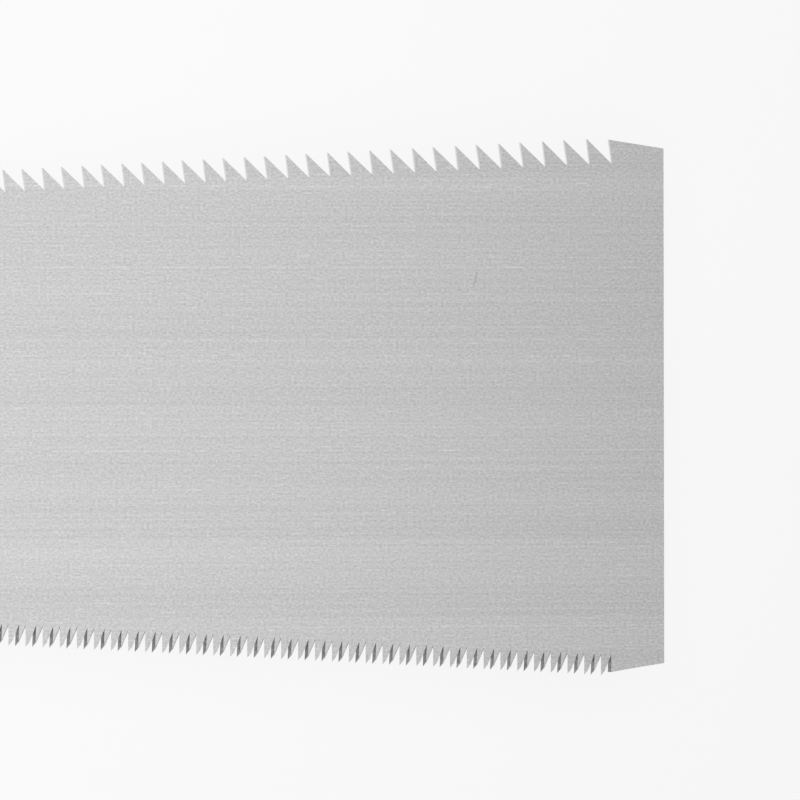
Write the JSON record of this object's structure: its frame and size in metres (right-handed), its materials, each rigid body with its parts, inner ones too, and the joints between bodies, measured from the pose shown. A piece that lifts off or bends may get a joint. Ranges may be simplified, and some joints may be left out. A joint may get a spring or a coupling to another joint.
{
  "type": "ryoba saw",
  "caption": "Double-edged pull saw: a thin flared blade with rip and crosscut edges, clamped by a screw in a steel holder on a rattan-wrapped wooden handle.",
  "frame": {"origin": "on the surface the saw lies on, under the middle of its box", "axes": "+X along the saw towards the blade's toe, +Y across the blade towards its rip edge, +Z normal to the blade, up"},
  "size_m": [0.6336, 0.0872, 0.0275],
  "materials": {
    "blade_steel": "satin, with fine polish lines along the blade",
    "holder_steel": "satin",
    "fastener_steel": "zinc plated",
    "core_wood": "bare, sanded",
    "collar_plastic": "moulded, matte black",
    "rattan": "split cane, natural gloss"
  },
  "bodies": {
    "handle": {"holder_cheek_upper": "holder_steel", "holder_cheek_lower": "holder_steel", "holder_spacer": "holder_steel", "holder_rivets": "fastener_steel", "clamp_nut": "fastener_steel", "handle_half_upper": "core_wood", "handle_half_lower": "core_wood", "handle_pins": "fastener_steel", "front_collar": "collar_plastic", "rear_collar": "collar_plastic", "rattan_wrap": "rattan"},
    "washer": {"clamp_washer": "fastener_steel"},
    "screw": {"clamp_screw": "fastener_steel"},
    "blade": {"blade": "blade_steel"}
  },
  "joints": [
    {"name": "blade_withdraw", "type": "slide", "parent": "handle", "child": "blade", "axis": [1, 0, 0], "range_m": [0, 0.045]},
    {"name": "clamp_washer_lift", "type": "slide", "parent": "handle", "child": "washer", "axis": [0, 0, 1], "range_m": [0, 0.0016]},
    {"name": "clamp_screw_turn", "type": "hinge", "parent": "washer", "child": "screw", "pos_m": [0.03224, 0, 0.01375], "axis": [0, 0, 1], "range_deg": [0, 720]}
  ],
  "couplings": [
    {"joint": "clamp_screw_turn", "follows": "clamp_washer_lift", "rad_per_m": 7854}
  ]
}
